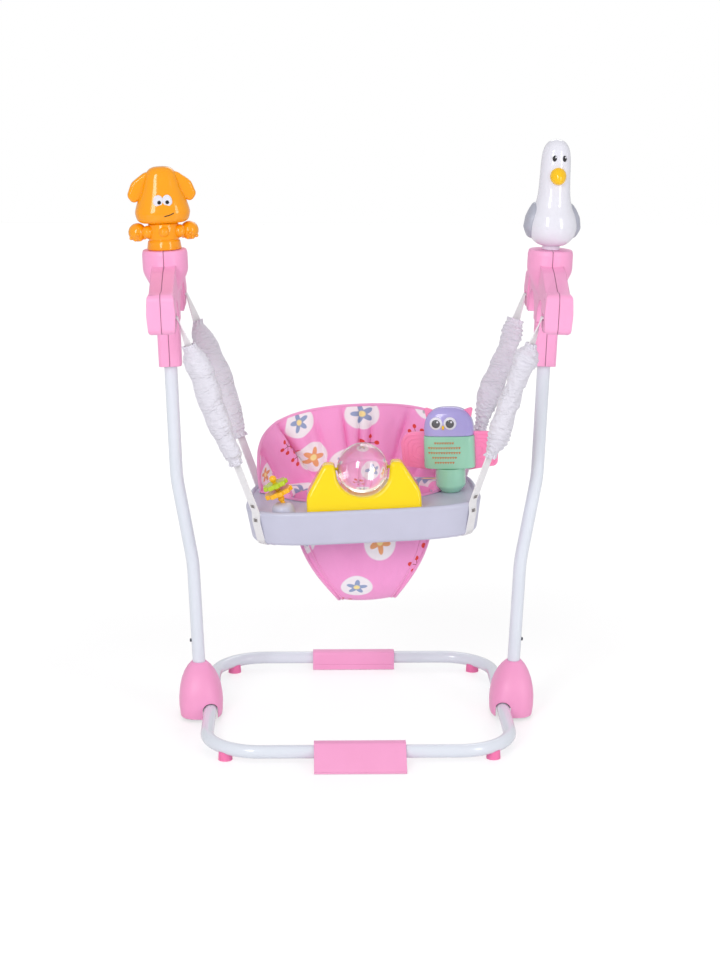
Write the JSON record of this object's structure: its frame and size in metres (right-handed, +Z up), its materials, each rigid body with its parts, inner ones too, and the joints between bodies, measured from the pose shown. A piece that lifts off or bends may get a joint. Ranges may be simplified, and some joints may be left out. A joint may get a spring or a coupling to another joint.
{
  "type": "baby jumper",
  "caption": "Standing baby jumper: folding tube base, leaning uprights with strap heads, and a fabric seat with a play tray that bounces on sprung straps, with toys that turn.",
  "frame": {"origin": "on the floor under the middle of the base", "axes": "+Z up, +Y to the rear, +X to the right seen from the front"},
  "size_m": [0.8594, 0.6746, 1.137],
  "materials": {
    "tube": "gloss white paint",
    "frame_pink": "satin moulded plastic",
    "steel": "plain zinc-plated",
    "button": "satin",
    "webbing": "woven webbing",
    "sleeve": "gathered cloth",
    "seat_fabric": "printed padded cloth",
    "tray": "satin moulded plastic",
    "yellow": "gloss",
    "clear": "clear, gloss",
    "orange": "gloss",
    "lime": "gloss",
    "mint": "gloss",
    "purple": "gloss",
    "wing_pink": "satin, ribbed",
    "pearl": "gloss",
    "grey": "satin",
    "clip": "satin"
  },
  "bodies": {
    "frame": {"hub_cover_left": "frame_pink", "hub_cover_right": "frame_pink", "hub_bracket_left": "steel", "hub_bracket_right": "steel", "fold_pins": "steel", "stub_tube_left": "tube", "stub_tube_right": "tube", "upright_left": "tube", "upright_right": "tube", "head_outer_left": "frame_pink", "head_outer_right": "frame_pink", "head_inner_left": "frame_pink", "head_inner_right": "frame_pink", "head_screws": "steel", "strap_bars": "steel", "strap_uppers": "webbing", "bounce_springs": "steel", "sleeve_front_left": "sleeve", "sleeve_front_right": "sleeve", "sleeve_rear_left": "sleeve", "sleeve_rear_right": "sleeve"},
    "base_front": {"base_front_tube": "tube", "front_pad_upper": "frame_pink", "front_pad_lower": "frame_pink", "front_feet": "frame_pink"},
    "base_rear": {"base_rear_tube": "tube", "rear_pad_upper": "frame_pink", "rear_pad_lower": "frame_pink", "rear_feet": "frame_pink"},
    "button_left": {"snap_button_left": "button", "snap_leaf_left": "steel"},
    "button_right": {"snap_button_right": "button", "snap_leaf_right": "steel"},
    "seat": {"tray": "tray", "seat_ring": "tray", "seat_sling": "seat_fabric", "seat_back": "seat_fabric", "strap_lowers": "webbing", "strap_clips": "clip", "toy_cradle": "yellow", "bead_post": "orange"},
    "ball": {"ball_half_left": "clear", "ball_half_right": "clear", "ball_axles": "yellow"},
    "disc_yellow": {"disc_yellow": "yellow"},
    "disc_lime": {"disc_lime": "lime"},
    "owl": {"owl_stem": "mint", "owl_body": "mint", "owl_head": "purple", "owl_back": "wing_pink"},
    "squid": {"squid_body": "orange", "squid_head": "orange", "squid_fins": "orange", "squid_eyes": "pearl"},
    "gull": {"gull_neck": "pearl", "gull_body": "pearl", "gull_wings": "grey", "gull_beak": "yellow"}
  },
  "joints": [
    {"name": "base_front_fold", "type": "hinge", "parent": "frame", "child": "base_front", "pos_m": [0, -0.024, 0.0235], "axis": [1, 0, 0], "range_deg": [0, 82]},
    {"name": "base_rear_fold", "type": "hinge", "parent": "frame", "child": "base_rear", "pos_m": [0, 0.024, 0.0235], "axis": [-1, 0, 0], "range_deg": [0, 82]},
    {"name": "seat_bounce", "type": "slide", "parent": "frame", "child": "seat", "axis": [0, 0, 1], "range_m": [-0.1, 0.05], "stiffness_N_per_m": 1200, "springref_m": 0.027, "deforming": ["sleeve_front_left", "sleeve_front_right", "sleeve_rear_left", "sleeve_rear_right", "bounce_springs"]},
    {"name": "snap_left", "type": "slide", "parent": "frame", "child": "button_left", "axis": [0.9991, 0, 0.0419], "range_m": [0, 0.0035], "stiffness_N_per_m": 900, "springref_m": -0.002},
    {"name": "snap_right", "type": "slide", "parent": "frame", "child": "button_right", "axis": [-0.9991, 0, 0.0419], "range_m": [0, 0.0035], "stiffness_N_per_m": 900, "springref_m": -0.002},
    {"name": "ball_spin", "type": "hinge", "parent": "seat", "child": "ball", "pos_m": [0.00673, -0.123, 0.53143], "axis": [0.999, 0, 0.0454], "continuous": true},
    {"name": "disc_yellow_spin", "type": "hinge", "parent": "seat", "child": "disc_yellow", "pos_m": [-0.14343, -0.128, 0.46555], "axis": [-0.3843, 0, 0.9232], "continuous": true},
    {"name": "disc_lime_spin", "type": "hinge", "parent": "seat", "child": "disc_lime", "pos_m": [-0.14343, -0.128, 0.46555], "axis": [-0.3843, 0, 0.9232], "continuous": true},
    {"name": "owl_turn", "type": "hinge", "parent": "seat", "child": "owl", "pos_m": [0.1821, -0.022, 0.46131], "axis": [-0.0454, 0, 0.999], "range_deg": [-30, 30]},
    {"name": "squid_turn", "type": "hinge", "parent": "frame", "child": "squid", "pos_m": [-0.3671, 0, 0.92916], "axis": [-0.0349, 0, 0.9994], "continuous": true},
    {"name": "gull_turn", "type": "hinge", "parent": "frame", "child": "gull", "pos_m": [0.3671, 0, 0.92916], "axis": [0.0349, 0, 0.9994], "continuous": true}
  ]
}
